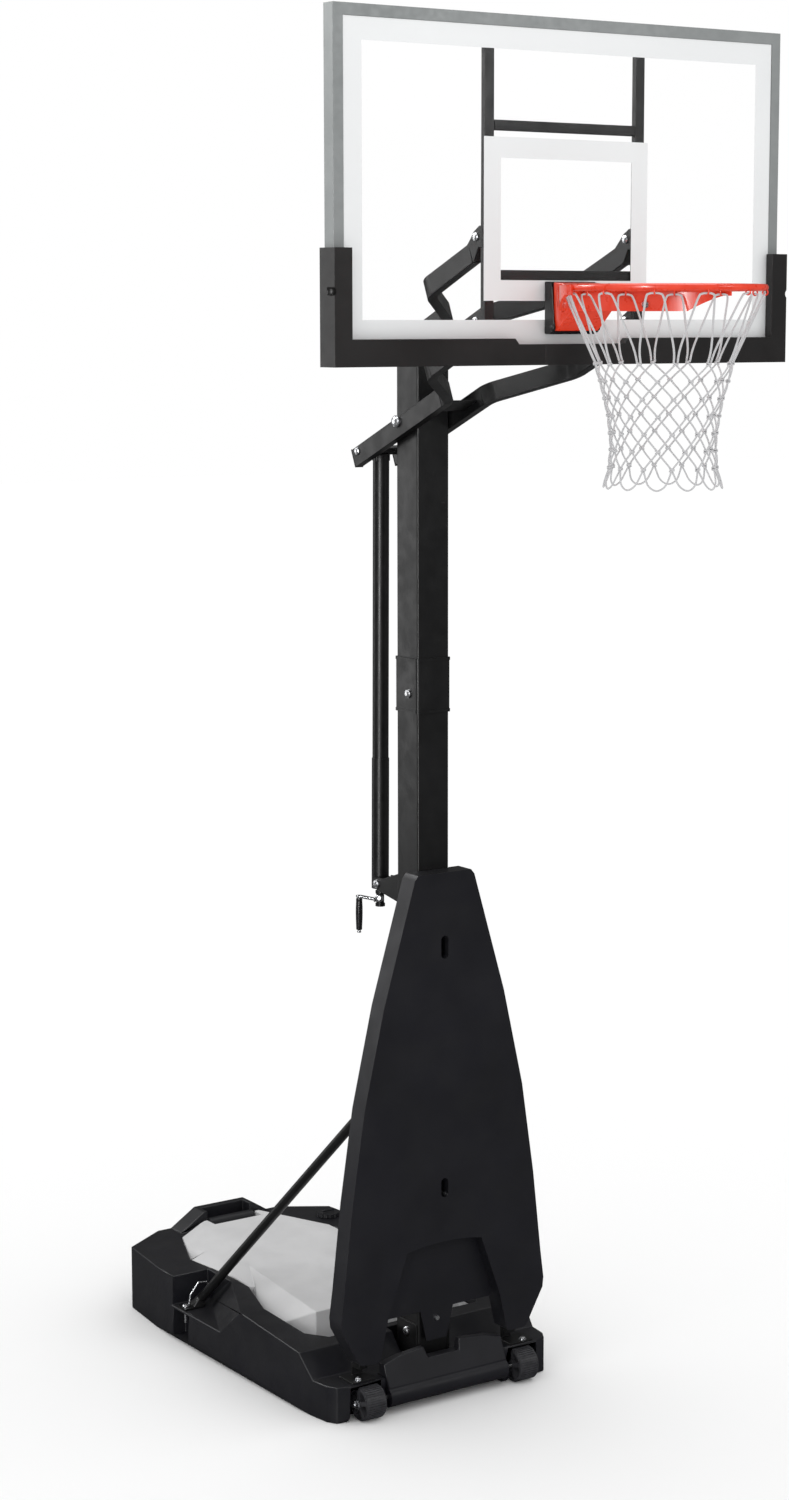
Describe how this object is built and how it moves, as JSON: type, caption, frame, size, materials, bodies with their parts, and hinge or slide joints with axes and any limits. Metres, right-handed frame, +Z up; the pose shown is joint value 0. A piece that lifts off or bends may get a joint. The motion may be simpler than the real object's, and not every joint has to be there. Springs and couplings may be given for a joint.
{
  "type": "portable_basketball_hoop",
  "caption": "Portable basketball hoop: ballasted base on wheels, square pole, parallelogram lift with a screw jack, clear padded board and sprung rim with net",
  "frame": {"origin": "on the floor under the pole's axis, on the underside of the base", "axes": "+X to the right seen from the playing side, +Y to the back, +Z up; the playing side faces -Y"},
  "size_m": [1.4, 2.3805, 3.692],
  "materials": {
    "black_steel": "satin powder coat, slightly grained",
    "black_plastic": "moulded polyethylene, fine grain, satin",
    "grey_plastic": "moulded polyethylene, light grey, fine grain",
    "wheel_plastic": "hard plastic, ribbed tread",
    "zinc_steel": "bright zinc plate",
    "brass_nut": "machined",
    "grip_plastic": "smooth hard plastic",
    "clear_acrylic": "clear acrylic sheet",
    "trim_aluminium": "satin anodised",
    "white_print": "screen print, slightly see-through",
    "pad_vinyl": "moulded foam with a satin skin",
    "red_steel": "glossy orange-red powder coat",
    "net_cord": "braided white cord"
  },
  "bodies": {
    "base": {"base_tank": "black_plastic", "ballast_insert": "grey_plastic", "filler_cap": "black_plastic", "front_crossbar": "black_plastic", "wheel_axle": "zinc_steel", "axle_nuts": "zinc_steel", "leg_left": "black_steel", "leg_right": "black_steel", "leg_bolts": "zinc_steel", "pole_foot": "black_steel", "strut_left": "black_steel", "strut_right": "black_steel", "strut_bolts": "zinc_steel", "strut_bails": "zinc_steel", "front_cover": "black_plastic", "cover_bolts": "zinc_steel", "lower_pole": "black_steel", "upper_pole": "black_steel", "pole_coupler": "black_steel", "through_bolts": "zinc_steel", "pole_cap": "black_plastic", "jack_bracket": "black_steel", "pole_pivot_bolts": "zinc_steel"},
    "left_wheel": {"wheel_left": "wheel_plastic"},
    "right_wheel": {"wheel_right": "wheel_plastic"},
    "lower_arms": {"lower_arm_left": "black_steel", "lower_arm_right": "black_steel", "arm_cross_plate": "black_steel", "rear_stub_bolts": "zinc_steel"},
    "upper_arms": {"upper_arm_left": "black_steel", "upper_arm_right": "black_steel"},
    "jack_lower": {"jack_outer_tube": "black_steel", "jack_foot": "black_steel"},
    "jack_upper": {"jack_inner_tube": "black_steel", "jack_eye": "black_steel", "jack_nut": "brass_nut"},
    "crank": {"jack_screw": "zinc_steel", "crank_hub": "black_steel", "crank_arm": "zinc_steel"},
    "grip": {"crank_grip": "grip_plastic"},
    "board": {"upright_left": "black_steel", "upright_right": "black_steel", "cross_bar_upper": "black_steel", "cross_bar_lower": "black_steel", "front_pivot_bolts": "zinc_steel", "board_panel": "clear_acrylic", "board_frame": "trim_aluminium", "board_stripes": "white_print", "pad_left": "pad_vinyl", "pad_centre": "pad_vinyl", "pad_right": "pad_vinyl", "rim_back_plate": "black_steel", "rim_plate_bolts": "zinc_steel", "rim_hinge_pin": "black_steel", "rim_springs": "zinc_steel"},
    "rim": {"rim_housing": "red_steel", "rim_wing": "red_steel", "rim_bolts": "zinc_steel", "rim_ring": "red_steel", "net": "net_cord"}
  },
  "joints": [
    {"name": "lift", "type": "hinge", "parent": "base", "child": "lower_arms", "pos_m": [0, 0.008, 2.696], "axis": [1, 0, 0], "range_deg": [0, 73.64]},
    {"name": "upper_arm_swing", "type": "hinge", "parent": "base", "child": "upper_arms", "pos_m": [0, 0.008, 2.899], "axis": [1, 0, 0], "range_deg": [0, 73.64]},
    {"name": "board_level", "type": "hinge", "parent": "lower_arms", "child": "board", "pos_m": [0, -0.5876, 2.9612], "axis": [1, 0, 0], "range_deg": [-73.64, 0]},
    {"name": "jack_swing", "type": "hinge", "parent": "base", "child": "jack_lower", "pos_m": [0, 0.184, 1.411], "axis": [1, 0, 0], "range_deg": [0, 2.13]},
    {"name": "jack_travel", "type": "slide", "parent": "jack_lower", "child": "jack_upper", "axis": [0, -0.0085, 1], "range_m": [0, 0.24614]},
    {"name": "crank_turn", "type": "hinge", "parent": "jack_lower", "child": "crank", "pos_m": [0, 0.21041, 1.363], "axis": [0, -0.0085, 1], "continuous": true},
    {"name": "grip_spin", "type": "hinge", "parent": "crank", "child": "grip", "pos_m": [-0.01935, 0.28851, 1.30666], "axis": [0, -0.0085, 1], "continuous": true},
    {"name": "rim_breakaway", "type": "hinge", "parent": "board", "child": "rim", "pos_m": [0, -0.664, 2.945], "axis": [1, 0, 0], "range_deg": [0, 30], "stiffness_Nm_per_rad": 180, "springref_deg": -20.05},
    {"name": "left_wheel_roll", "type": "hinge", "parent": "base", "child": "left_wheel", "pos_m": [-0.2575, -0.11, 0.0476], "axis": [1, 0, 0], "continuous": true},
    {"name": "right_wheel_roll", "type": "hinge", "parent": "base", "child": "right_wheel", "pos_m": [0.2575, -0.11, 0.0476], "axis": [1, 0, 0], "continuous": true}
  ],
  "couplings": [
    {"joint": "upper_arm_swing", "follows": "lift", "ratio": 1},
    {"joint": "board_level", "follows": "lift", "ratio": -1},
    {"joint": "jack_swing", "follows": "lift", "ratio": 0.028941},
    {"joint": "jack_travel", "follows": "lift", "m_per_rad": 0.19135}
  ]
}
